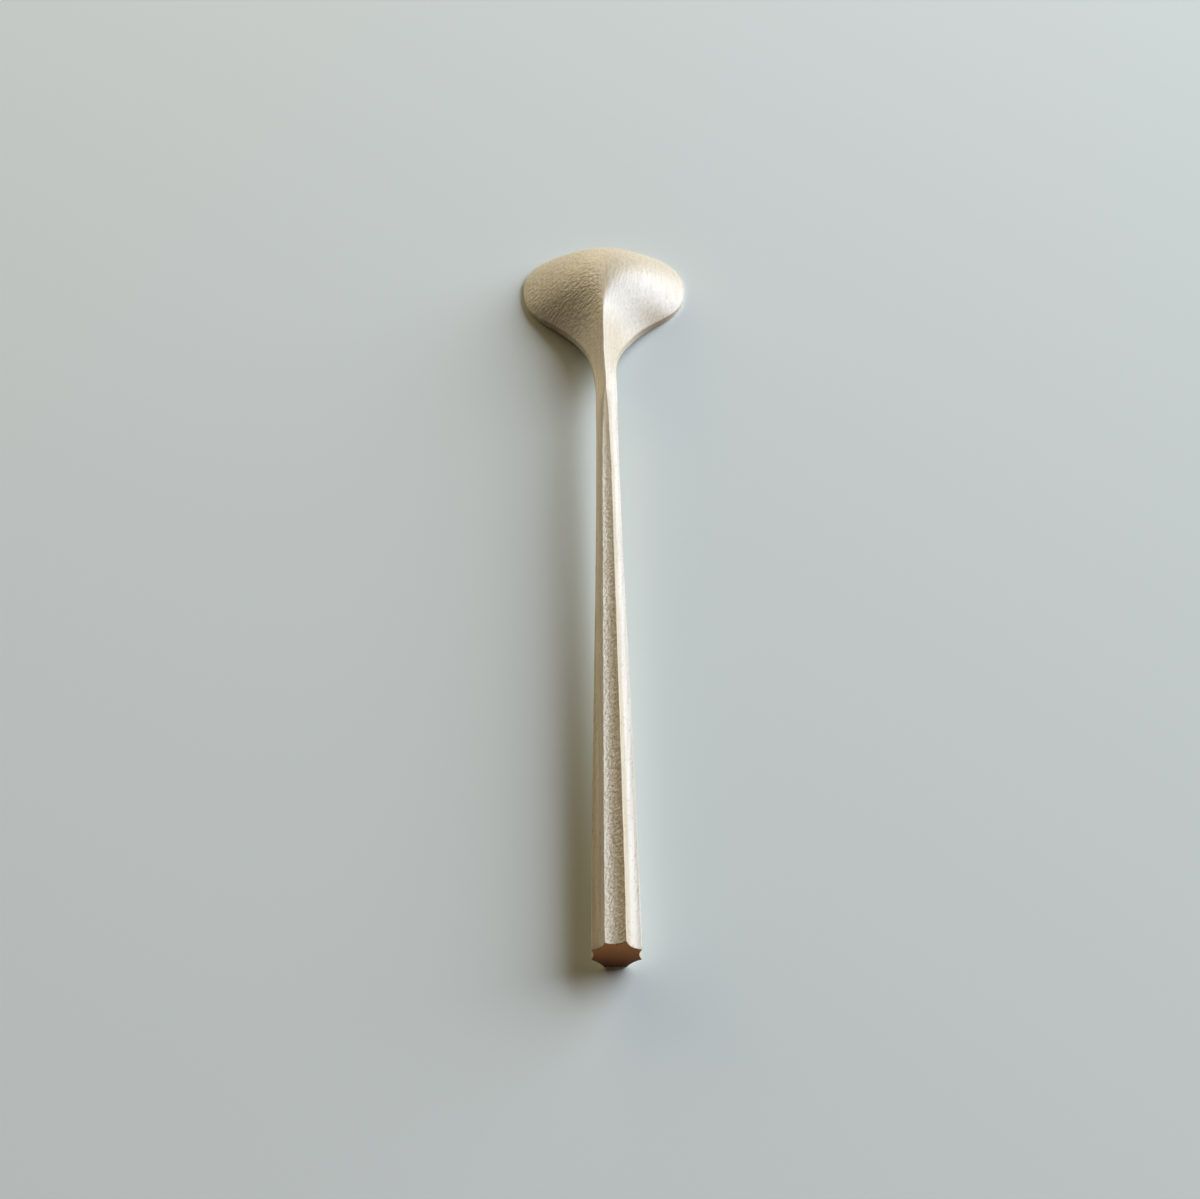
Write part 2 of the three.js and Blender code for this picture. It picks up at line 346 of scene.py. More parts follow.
@dataclass(frozen=True)
class Side:
    """Lines of the spoon seen from the side, and its upright band. Millimetres.

    Attributes:
        plan: Outline seen from above.
        flutes: Grooves of the handle.
        hollow: Inside of the bowl.
        back_height: Height of the bowl's back.
        end_height: Height of the handle's end.
        clearance: Height of the neck over the table.
        rim_edge: Height of the band round the bowl's front.
        shoulder_edge: Height of the band along the shoulders.
        edge_thins: The band starts to thin this far behind the widest part.
        heel_rise: The rim starts to rise this far behind the widest part.
        fall_start: The top line is highest this far behind the widest part.
        fall_power: Power of its fall toward the tip.
        undercut: How far the band's lower edge stands in, along the shoulders.
        undercut_fades: Distances behind the widest part between which that fades.
    """

    plan: Plan
    flutes: Flutes
    hollow: Hollow
    back_height: float
    end_height: float = 7.9
    clearance: float = 5.7
    rim_edge: float = 0.9
    shoulder_edge: float = 1.95
    edge_thins: float = 20.0
    heel_rise: float = 5.0
    fall_start: float = 13.0
    fall_power: float = 2.8
    undercut: float = 0.25
    undercut_fades: tuple[float, float] = (10.0, 1.0)

    def top(self, station: Array) -> Array:
        """Height of the top line: a long rise, then a fall that steepens toward the tip.

        Args:
            station: Distances along the spoon.

        Returns:
            The height at each station.
        """
        fall = self.plan.widest - self.fall_start
        start, end = (0.0, self.end_height), (fall, self.back_height)
        rise = Curve(start, end, leaves=0.35, arrives=0.72, drawn=0.1)
        share = np.clip((station - fall) / (self.plan.length - fall), 0.0, 1.0)
        front = self.back_height - (self.back_height - self.rim_edge) * share**self.fall_power
        return np.where(station <= fall, rise.at(station), front)

    def under(self, station: Array) -> Array:
        """Height of the underside: the handle arches up to the neck and down to the rim.

        Args:
            station: Distances along the spoon.

        Returns:
            The height at each station.
        """
        neck = (self.plan.handle_length, self.clearance)
        up = Curve((0.0, 0.0), neck, leaves=0.35, arrives=0.65, drawn=0.2)
        down = Curve(neck, (self.plan.widest - self.heel_rise, 0.0), leaves=0.34, arrives=0.6)
        return np.where(station > self.plan.handle_length, down.at(station), up.at(station))

    def band(self, station: Array) -> tuple[Array, Array]:
        """Lower and upper edge of the side band.

        On the handle the band is a flute, level with the section's middle. On the bowl it is
        the upright edge of the rim, at the underside.

        Args:
            station: Distances along the spoon.

        Returns:
            The lower and the upper height at each station.
        """
        widest = self.plan.widest
        height = self.top(station) - self.under(station)
        edge = mix(self.shoulder_edge, self.rim_edge, ease(station, widest - self.edge_thins, widest))
        turn = ease(station, self.flutes.runout_start, self.hollow.start)
        band = mix(self.flutes.side_share * height, edge, turn)
        lift = 1.0 - ease(station, self.flutes.end, self.hollow.start + self.hollow.heel_radius)
        lower = self.under(station) + lift * (height - band) / 2.0
        return lower, lower + band

    def leans_in(self, station: Array) -> Array:
        """How far the band's lower edge stands in from its upper one, along the shoulders.

        Args:
            station: Distances along the spoon.

        Returns:
            The distance at each station, 0 on the handle and round the bowl's front.
        """
        starts, ends = (self.plan.widest - behind for behind in self.undercut_fades)
        comes = ease(station, self.flutes.end, self.hollow.start)
        return self.undercut * comes * (1.0 - ease(station, starts, ends))


@dataclass(frozen=True)
class Back:
    """The bowl's back: two slopes that meet in a keel and turn into one crown. Millimetres.

    Attributes:
        plan: Outline that the keel is placed by.
        sharp_to: The keel starts to soften this far behind the widest part.
        gone_at: It is gone this far behind the widest part.
        softness: Rounding of the fading keel, as a share of the half width.
        keel_edge: Rounding of the sharp keel.
        keel_closes: Length over which the keel takes that rounding, behind the neck.
        narrowest: Half width of the spoon under which that rounding shrinks with it.
        crown: 1 is a parabola across the bowl, more is flatter at the rim.
    """

    plan: Plan
    sharp_to: float = 25.0
    gone_at: float = 3.0
    softness: float = 0.25
    keel_edge: float = 0.12
    keel_closes: float = 12.0
    narrowest: float = 1.0
    crown: float = 1.15

    def profile(self, station: Array, share: Array) -> Array:
        """Height across one half of the back, from 1 at the middle to 0 at the rim.

        The slope is a hyperbola, (sqrt(r^2 + q^2) - q) scaled to reach 1 at the rim. The
        crown is a r^2 + (1 - a) r^4. The two are mixed as the keel fades.

        Args:
            station: Distances along the spoon, as a column.
            share: Shares r of the half width.

        Returns:
            The height as a share of the whole.
        """
        plan = self.plan
        keel = 1.0 - ease(station, plan.widest - self.sharp_to, plan.widest - self.gone_at)
        closing = ease(station, plan.handle_length - self.keel_closes, plan.handle_length)
        edge = closing * self.keel_edge / np.maximum(plan.half_width(station), self.narrowest)
        soft = np.hypot(self.softness * (1.0 - keel), edge) + TINY
        slope = (np.hypot(share, soft) - soft) / (np.hypot(1.0, soft) - soft)
        crown = self.crown * share**2 + (1.0 - self.crown) * share**4
        return 1.0 - keel * slope - (1.0 - keel) * crown


@dataclass(frozen=True)
class Hand:
    """What the carver's hand leaves in the wood. Millimetres.

    Attributes:
        flute_lean: The top flute lies this far to the left of the middle.
        flute_span: Stations between which that lean fades.
        neck_lean: The keel and the shoulders lie this far to the left.
        neck_span: Stations between which that lean comes, and between which it goes.
        roll: At the handle's end the top flute is tilted, its side ridges this far from level.
        roll_fades: Station where that tilt is gone.
        wander: Sideways wander of the ridges.
        wander_span: Stations between which the wander fades.
        stride: Wave length of the wander.
        stride_spread: Shortest and longest wave, as shares of that length.
        sines: Number of waves in the wander.
        cut_depth: Depth of the shallow cuts all over the surface.
        cut_sizes: Shortest and longest wave of those cuts.
        cut_waves: Number of waves in the cuts.
        cut_stretch: Slope of the cuts along the grain, as a share of that across it.
        cut_edge: Sum of the waves at which a cut is nearly at its full depth.
        seed: Start of the random draws.
    """

    flute_lean: float = 0.25
    flute_span: tuple[float, float] = (125.0, 150.0)
    neck_lean: float = 0.43
    neck_span: tuple[float, float, float, float] = (138.0, 150.0, 164.0, 181.0)
    roll: float = 0.2
    roll_fades: float = 115.0
    wander: float = 0.05
    wander_span: tuple[float, float] = (150.0, 172.0)
    stride: float = 11.0
    stride_spread: tuple[float, float] = (0.4, 2.2)
    sines: int = 5
    cut_depth: float = 0.017
    cut_sizes: tuple[float, float] = (3.0, 9.0)
    cut_waves: int = 24
    cut_stretch: float = 0.35
    cut_edge: float = 5.0
    seed: int = 7

    def waves(self, station: Array, draw: int) -> Array:
        """A wandering line: the mean of a few sines of random length and phase.

        Args:
            station: Distances along the spoon.
            draw: Number of the line, so that each line wanders by itself.

        Returns:
            The offset at each station, between -1 and 1.
        """
        random = np.random.default_rng([self.seed, draw])
        lengths = self.stride * random.uniform(*self.stride_spread, self.sines)
        phases = random.uniform(0.0, 2.0 * math.pi, self.sines)
        return np.sin(2.0 * math.pi * station[..., None] / lengths + phases).mean(axis=-1)

    def cuts(self, points: Array) -> Array:
        """Shallow cuts all over the surface: a sum of plane waves, longest along the grain.

        The formula is d (1 + tanh(s / e)) / 2, with s the sum and e the edge.

        Args:
            points: Points of the surface, in millimetres.

        Returns:
            The depth of wood taken off at each point, from 0 to the full depth.
        """
        random = np.random.default_rng(self.seed)
        count = self.cut_waves
        turns = random.normal(size=(count, 3)) * (1.0, self.cut_stretch, 1.0)
        turns /= np.linalg.norm(turns, axis=1, keepdims=True)
        lengths = random.uniform(*self.cut_sizes, (count, 1))
        phases = random.uniform(0.0, 2.0 * math.pi, count)
        total = np.sin(2.0 * math.pi * points @ (turns / lengths).T + phases).sum(axis=-1)
        return self.cut_depth * (1.0 + np.tanh(total / self.cut_edge)) / 2.0


@dataclass(frozen=True)
class Grid:
    """How closely the spoon's surface is divided.

    Attributes:
        grip: Sections along the handle.
        runout: Steps along the run-out of the top flute.
        neck: Sections along the neck.
        hollow: Steps along the rear of the hollow.
        front: Steps round the front of the rim.
        mouth: Steps round the front of the hollow's mouth.
        cap: Rings of the end face.
        arris: Rings round its edge.
        facets: Steps across each facet, from the top one down.
        corner: Points in the rounding of a ridge.
        decimals: Stations that are alike to this many decimals are one.
    """

    grip: int = 130
    runout: int = 50
    neck: int = 45
    hollow: int = 70
    front: int = 60
    mouth: int = 40
    cap: int = 5
    arris: int = 4
    facets: tuple[int, ...] = (8, 22, 6, 10, 24)
    corner: int = 5
    decimals: int = 4


@dataclass
class Spoon:
    """The whole spoon, one piece of wood. Millimetres.

    Attributes:
        length: Length of the spoon.
        bowl_width: Width of the bowl.
        back_height: Height of the bowl's back over the table.
        grip_edge: How far from a ridge its rounding starts, on the handle.
        bowl_edges: The same on the bowl, for each ridge from the top one down.
        edge_limit: Largest share of a facet that the rounding takes.
        arris: Rounding of the end face's edge.
        strip: Half width of the strip along the keel, on the handle and on the bowl, as
            shares of the half width.
        grid: How closely the surface is divided.
        hand: What the carver's hand leaves.
    """

    length: float
    bowl_width: float
    back_height: float
    grip_edge: float = 0.15
    bowl_edges: tuple[float, ...] = (0.15, 0.15, 0.25, 0.5)
    edge_limit: float = 0.35
    arris: float = 0.15
    strip: tuple[float, float] = (0.04, 0.16)
    grid: Grid = field(default_factory=Grid)
    hand: Hand = field(default_factory=Hand)

    def __post_init__(self) -> None:
        """Works out the forms that share these sizes."""
        self.plan = Plan(self.length, self.bowl_width)
        self.flutes = Flutes()
        self.hollow = Hollow(self.plan, self.back_height)
        self.side = Side(self.plan, self.flutes, self.hollow, self.back_height)
        self.back = Back(self.plan)

    def stations(self) -> Array:
        """Stations of the sections, closer together where the form turns quickly.

        Past the widest part they follow the rim and the hollow's mouth at even angles a, at
        the superellipse's distance L sin(a)^(2/n).

        Returns:
            The stations as a column.
        """
        plan, flutes, hollow, grid = self.plan, self.flutes, self.hollow, self.grid
        quarter = math.pi / 2

        def oval(length: float, steps: int) -> Array:
            """Stations at even angles round a superellipse."""
            turn = np.sin(np.linspace(0.0, quarter, steps + 1))
            return plan.widest + length * turn ** (2.0 / plan.fullness)

        sweep = np.sin(np.linspace(0.0, quarter, grid.runout + 1))
        opening = 1.0 - np.cos(np.linspace(0.0, quarter, grid.hollow + 1))
        parts = [
            np.linspace(self.arris, flutes.runout_start, grid.grip),
            flutes.runout_start + flutes.runout * sweep,
            np.linspace(flutes.end, hollow.start, grid.neck),
            hollow.start + hollow.rear * opening,
            oval(plan.front_length, grid.front),
            oval(hollow.front_length, grid.mouth),
        ]
        return np.unique(np.concatenate(parts).round(grid.decimals))[:, None]

    def past_ridge(self, station: Array, x: Array) -> Array:
        """How far out each point lies, from the top flute's ridge to the side.

        Args:
            station: Distances along the spoon, as a column.
            x: Distances from the middle.

        Returns:
            The share of the way at each point, 0 inside the ridge.
        """
        half = self.plan.half_width(station)
        ridge = self.flutes.ridge_share(station) * half
        return np.clip((x - ridge) / np.maximum(half - ridge, TINY), 0.0, 1.0)

    def back_at(self, station: Array, x: Array) -> Array:
        """Height of the upper surface before the flutes are cut."""
        profile = self.back.profile(station, self.past_ridge(station, x))
        return mix(self.side.band(station)[1], self.side.top(station), profile)

    def land_at(self, station: Array, x: Array) -> Array:
        """Height of the underside outside the hollow, before the flutes are cut."""
        return mix(self.side.under(station), self.side.band(station)[0], self.past_ridge(station, x))

    def hollow_at(self, station: Array, x: Array) -> Array:
        """Height of the underside, with the hollow: its depth times 1 - (x / w)^p over the land.

        Args:
            station: Distances along the spoon, as a column.
            x: Distances from the middle.

        Returns:
            The height at each point.
        """
        mouth = self.hollow.half_width(station)
        share = np.minimum(x / np.maximum(mouth, TINY), 1.0)
        rise = self.hollow.depth(station) * (1.0 - share**self.hollow.power)
        inside = self.land_at(station, mouth) + rise
        return np.where(mouth > 0.0, inside, self.land_at(station, x))

    def gouged(self, line: Facet, depth: Array) -> Facet:
        """Cuts a flute into a facet.

        Each point moves into the wood, square to the chord between the facet's ends, by
        4 u (1 - u) times the sag.

        Args:
            line: The facet before the cut.
            depth: Hollowness at each station, as a column.

        Returns:
            The facet with its flute.
        """

        def cut(share: Array) -> Array:
            """Points of the fluted facet."""
            first, last = line(np.zeros_like(depth)), line(np.ones_like(depth))
            chord = last - first
            length = np.linalg.norm(chord, axis=-1, keepdims=True)
            inward = np.stack([chord[..., 1], -chord[..., 0]], axis=-1) / np.maximum(length, TINY)
            sag = self.flutes.sag(length) * depth[..., None]
            return line(share) + inward * sag * (4.0 * share * (1.0 - share))[..., None]

        return cut

    def facets(self, station: Array) -> list[Facet]:
        """The five facets of the right half, from the middle of the top to that of the underside.

        Args:
            station: Stations of the sections, as a column.

        Returns:
            Crest, slope, band, under and hollow, each a function of the share along it.
        """
        plan, flutes = self.plan, self.flutes
        half = plan.half_width(station)
        lower, upper = self.side.band(station)
        depth = flutes.depth(station)
        foot = half - self.side.leans_in(station)
        closed = np.where(station < flutes.end, 1.0, 0.0)
        share = flutes.ridge_share(station)
        strip = mix(*self.strip, ease(station, plan.handle_length, plan.widest))
        crest_to = np.maximum(share, strip) * half
        under_to = np.maximum(np.maximum(share, self.strip[0]) * half, self.hollow.half_width(station))

        def crest(u: Array) -> Array:
            """From the middle of the top flute to its ridge."""
            cut = closed * flutes.sag(2.0 * crest_to) * (1.0 - u**2)
            return np.stack([u * crest_to, self.back_at(station, u * crest_to) - cut], axis=-1)

        def slope(u: Array) -> Array:
            """From the ridge down to the band."""
            x = mix(crest_to, half, u)
            return np.stack([x, self.back_at(station, x)], axis=-1)

        def band(u: Array) -> Array:
            """Down the band."""
            return np.stack([mix(half, foot, u), mix(upper, lower, u)], axis=-1)

        def under(u: Array) -> Array:
            """From the band in to the lower ridge, or to the hollow's mouth."""
            x = mix(foot, under_to, u)
            return np.stack([x, self.land_at(station, x * half / np.maximum(foot, TINY))], axis=-1)

        def hollow(u: Array) -> Array:
            """From there to the middle of the underside."""
            x = (1.0 - u) * under_to
            cut = flutes.under_depth * closed * flutes.sag(2.0 * under_to) * (1.0 - (1.0 - u) ** 2)
            return np.stack([x, self.hollow_at(station, x) + cut], axis=-1)

        cut_under = self.gouged(under, depth * flutes.under_depth)
        return [crest, self.gouged(slope, depth), self.gouged(band, depth), cut_under, hollow]

    def ridge_edges(self, station: Array) -> list[Array]:
        """How far from each ridge its rounding starts, growing from the handle to the bowl."""
        growth = ease(station, self.flutes.end, self.hollow.start)
        return [mix(self.grip_edge, edge, growth) for edge in self.bowl_edges]

    def half_sections(self, station: Array) -> Array:
        """Points of the right half of each section, with its ridges rounded.

        Each ridge is replaced by a quadratic Bezier curve that leaves its two facets a short
        way before they meet.

        Args:
            station: Stations of the sections, as a column.

        Returns:
            X and Z of the points, with one row for each section.
        """
        facets, edges = self.facets(station), self.ridge_edges(station)
        start, end = np.zeros_like(station), np.ones_like(station)
        lengths = [np.linalg.norm(facet(end) - facet(start), axis=-1) for facet in facets]

        def taken(ridge: int, facet: int) -> Array:
            """Share of a facet that the rounding of a ridge takes."""
            return np.minimum(edges[ridge] / np.maximum(lengths[facet], SHORTEST_FACET), self.edge_limit)

        t = np.linspace(0.0, 1.0, self.grid.corner + 2)[1:-1][None, :, None]
        rows = []
        for index, (facet, steps) in enumerate(zip(facets, self.grid.facets)):
            low = taken(index - 1, index) if index > 0 else start
            high = 1.0 - taken(index, index) if index < len(edges) else end
            rows.append(facet(mix(low, high, np.linspace(0.0, 1.0, steps + 1)[None, :])))
            if index < len(edges):
                near = facets[index + 1](taken(index, index + 1))
                rows.append((1 - t) ** 2 * facet(high) + 2 * t * (1 - t) * facet(end) + t**2 * near)
        return np.concatenate(rows, axis=1)

    def leaned(self, station: Array, x: Array) -> Array:
        """Leans the top flute, the keel and the shoulders to the left, and lets them wander.

        The top of a section moves by more than its sides: the share is 1 - (x / w)^2.

        Args:
            station: Stations of the sections, as a column.
            x: Distances from the middle, negative on the left.

        Returns:
            The X of each point.
        """
        hand = self.hand
        comes, goes = hand.neck_span[:2], hand.neck_span[2:]
        sides = -hand.neck_lean * ease(station, *comes) * (1.0 - ease(station, *goes))
        grip = 1.0 - ease(station, *hand.flute_span)
        wander = hand.wander * hand.waves(station, 1) * (1.0 - ease(station, *hand.wander_span))
        top = sides - hand.flute_lean * grip + wander
        share = np.clip(x / np.maximum(self.plan.half_width(station), TINY), -1.0, 1.0)
        return x + mix(sides, top, 1.0 - share**2)

    def rolled(self, station: Array, x: Array, z: Array) -> Array:
        """Tilts the top flute to the left at the handle's end.

        The lift is r x / w, with w the top flute's half width, times the square of the share
        of the way from the section's middle to its top.

        Args:
            station: Stations of the sections, as a column.
            x: Distances from the middle, negative on the left.
            z: Heights.

        Returns:
            The height of each point.
        """
        half_height = (self.side.top(station) - self.side.under(station)) / 2.0
        middle = self.side.under(station) + half_height
        above = np.clip((z - middle) / np.maximum(half_height, TINY), 0.0, 1.0)
        width = np.maximum(self.flutes.top_share * self.plan.half_width(station), TINY)
        tilt = self.hand.roll * (1.0 - ease(station, 0.0, self.hand.roll_fades))
        return z + tilt * np.clip(x / width, -1.0, 1.0) * above**2

    def sections(self) -> Array:
        """Closed sections along the spoon, from the middle of the end face to the tip.

        The end face is made of copies of the first section drawn in toward its middle, the
        last ones round its arris.

        Returns:
            X, Y and Z of the points, with one row for each section.
        """
        station = self.stations()
        half = self.half_sections(station)
        left = half[:, -2:0:-1] * (-1.0, 1.0)
        ring = np.concatenate([half, left], axis=1)
        x = self.leaned(station, ring[..., 0])
        y = np.broadcast_to(station, x.shape)
        body = np.stack([x, y, self.rolled(station, *np.moveaxis(ring, -1, 0))], axis=-1)

        first = body[0]
        middle = (first.min(axis=0) + first.max(axis=0)) / 2
        reach = np.linalg.norm(first - middle, axis=1).mean()
        turn = np.linspace(0.0, math.pi / 2, self.grid.arris + 1)[:-1]
        round_scales = 1.0 - self.arris / reach * (1.0 - np.sin(turn))
        scales = np.concatenate([np.linspace(0.0, 1.0, self.grid.cap + 1)[:-1], round_scales])
        levels = np.concatenate([np.zeros(self.grid.cap), self.arris * (1.0 - np.cos(turn))])
        cap = middle + (first - middle) * scales[:, None, None]
        cap[..., 1] = levels[:, None]
        return np.concatenate([cap, body], axis=0)

    def surface(self) -> Array:
        """The finished surface, with the shallow cuts of the knife pressed into it.

        Each point moves in along the surface's normal, which is the cross product of the
        steps to its neighbours along and round the spoon.

        Returns:
            X, Y and Z of the points, with one row for each section.
        """
        points = self.sections()
        along = np.gradient(points, axis=0)
        around = np.roll(points, -1, axis=1) - np.roll(points, 1, axis=1)
        normal = np.cross(around, along)
        normal /= np.maximum(np.linalg.norm(normal, axis=-1, keepdims=True), TINY)
        points = points - normal * self.hand.cuts(points)[..., None]
        points[..., 2] = np.maximum(points[..., 2], 0.0)
        points[..., 1] -= self.length / 2
        return points

    def top_flute(self, points: Array) -> Array:
        """Where the top flute is.

        Args:
            points: The finished surface.

        Returns:
            The share for each point: 1 in the flute, 0 outside it and past its end.
        """
        crest = self.grid.facets[0] + 1
        half = points.shape[1] // 2 + 1
        across = np.zeros(half)
        across[:crest] = 1.0
        ring = np.concatenate([across, across[-2:0:-1]])
        station = points[..., 1] + self.length / 2
        return ring * (1.0 - ease(station, self.flutes.runout_start, self.flutes.end))

    def build(self) -> bpy.types.Object:
        """Makes the spoon's mesh, in metres, with its normals out and its two ends closed.

        Returns:
            The spoon, at the origin.
        """
        points = self.surface()
        rows, columns = points.shape[:2]
        here = np.arange(rows * columns).reshape(rows, columns)
        side = np.roll(here, -1, axis=1)
        quads = np.stack([here[:-1], here[1:], side[1:], side[:-1]], axis=-1).reshape(-1, 4)
        mesh = bpy.data.meshes.new("carved_spoon")
        mesh.from_pydata((points * MM).reshape(-1, 3), [], quads)
        flute = mesh.attributes.new(FLUTE_ATTRIBUTE, "FLOAT", "POINT")
        flute.data.foreach_set("value", self.top_flute(points).ravel())
        work = bmesh.new()
        work.from_mesh(mesh)
        bmesh.ops.remove_doubles(work, verts=work.verts, dist=MERGE_DISTANCE)
        bmesh.ops.recalc_face_normals(work, faces=work.faces)
        open_edges = sum(not edge.is_manifold for edge in work.edges)
        volume = work.calc_volume(signed=True) / MM**3
        work.to_mesh(mesh)
        work.free()
        mesh.shade_smooth()
        mesh.validate()
        piece = put_in_scene("carved_spoon", mesh)
        log.info("%s: %d faces, %d open edges, %.0f mm3", piece.name, len(mesh.polygons), open_edges, volume)
        return piece


def direction(azimuth: float, elevation: float) -> Vector:
    """A unit vector from its angle to the right of +Y and its angle above the floor, in degrees."""
    turn, rise = math.radians(azimuth), math.radians(elevation)
    return Vector((math.sin(turn) * math.cos(rise), math.cos(turn) * math.cos(rise), math.sin(rise)))


def put_in_scene(name: str, data: bpy.types.ID) -> bpy.types.Object:
    """Makes an object of a mesh, a lamp or a camera, and puts it in the scene.

    Args:
        name: Name of the object.
        data: What it shows.

    Returns:
        The object, at the origin.
    """
    made = bpy.data.objects.new(name, data)
    bpy.context.scene.collection.objects.link(made)
    return made


def add_node(
    tree: Tree, kind: str, inputs: Mapping[str, Any] | None = None, **settings: Any
) -> dict[str, Socket]:
    """Adds a node with its settings and links.

    Its sockets go by their identifiers, because some nodes have several of one name.

    Args:
        tree: Node tree that gets the node.
        kind: Type of the node, without the ShaderNode that each one starts with.
        inputs: What its inputs get, each a constant or the socket that feeds it.
        **settings: Other properties of the node.

    Returns:
        The outputs of the new node.
    """
    node = tree.nodes.new(f"ShaderNode{kind}")
    for name, value in settings.items():
        setattr(node, name, value)
    sockets = {socket.identifier: socket for socket in node.inputs}
    for name, value in (inputs or {}).items():
        if isinstance(value, Socket):
            tree.links.new(value, sockets[name])
        else:
            sockets[name].default_value = value
    return {socket.identifier: socket for socket in node.outputs}


def new_tree(name: str) -> tuple[bpy.types.Material, Tree]:
    """Makes a material with an empty node tree.

    Args:
        name: Name of the material.

    Returns:
        The material and its tree.
    """
    material = bpy.data.materials.new(name)
    material.use_nodes = True
    material.node_tree.nodes.clear()
    return material, material.node_tree


@dataclass(frozen=True)
class Pattern:
    """A cloudy pattern in the wood.

    Attributes:
        sizes: Sizes of a cell in millimetres, across the grain, along it and up.
        turn: Turn of the cells about Z, in degrees.
        octaves: Finer layers on top of the first one.
        roughness: Strength of each finer layer, as a share of the one before.
        low: Value of the cloud where the result is 0.
        high: Value of the cloud where the result is at its highest.
        highest: The highest result.
    """

    sizes: tuple[float, float, float]
    turn: float = 0.0
    octaves: float = 0.0
    roughness: float = 0.55
    low: float = 0.3
    high: float = 0.7
    highest: float = 1.0

    def socket(self, tree: Tree, place: Socket) -> Socket:
        """Adds the pattern to a material.

        Args:
            tree: Node tree of the material.
            place: Position in metres.

        Returns:
            The socket that gives the pattern, from 0 to its highest value.
        """
        turn = {"Vector": place, "Rotation": (0.0, 0.0, math.radians(self.turn))}
        turned = add_node(tree, "Mapping", turn, vector_type="TEXTURE")["Vector"]
        scale = tuple(1.0 / (size * MM) for size in self.sizes)
        cells = add_node(tree, "Mapping", {"Vector": turned, "Scale": scale})["Vector"]
        noise = {"Vector": cells, "Scale": 1.0, "Detail": self.octaves, "Roughness": self.roughness}
        cloud = add_node(tree, "TexNoise", noise)["Fac"]
        span = {"Value": cloud, "From Min": self.low, "From Max": self.high, "To Max": self.highest}
        return add_node(tree, "MapRange", span, interpolation_type="SMOOTHSTEP")["Result"]


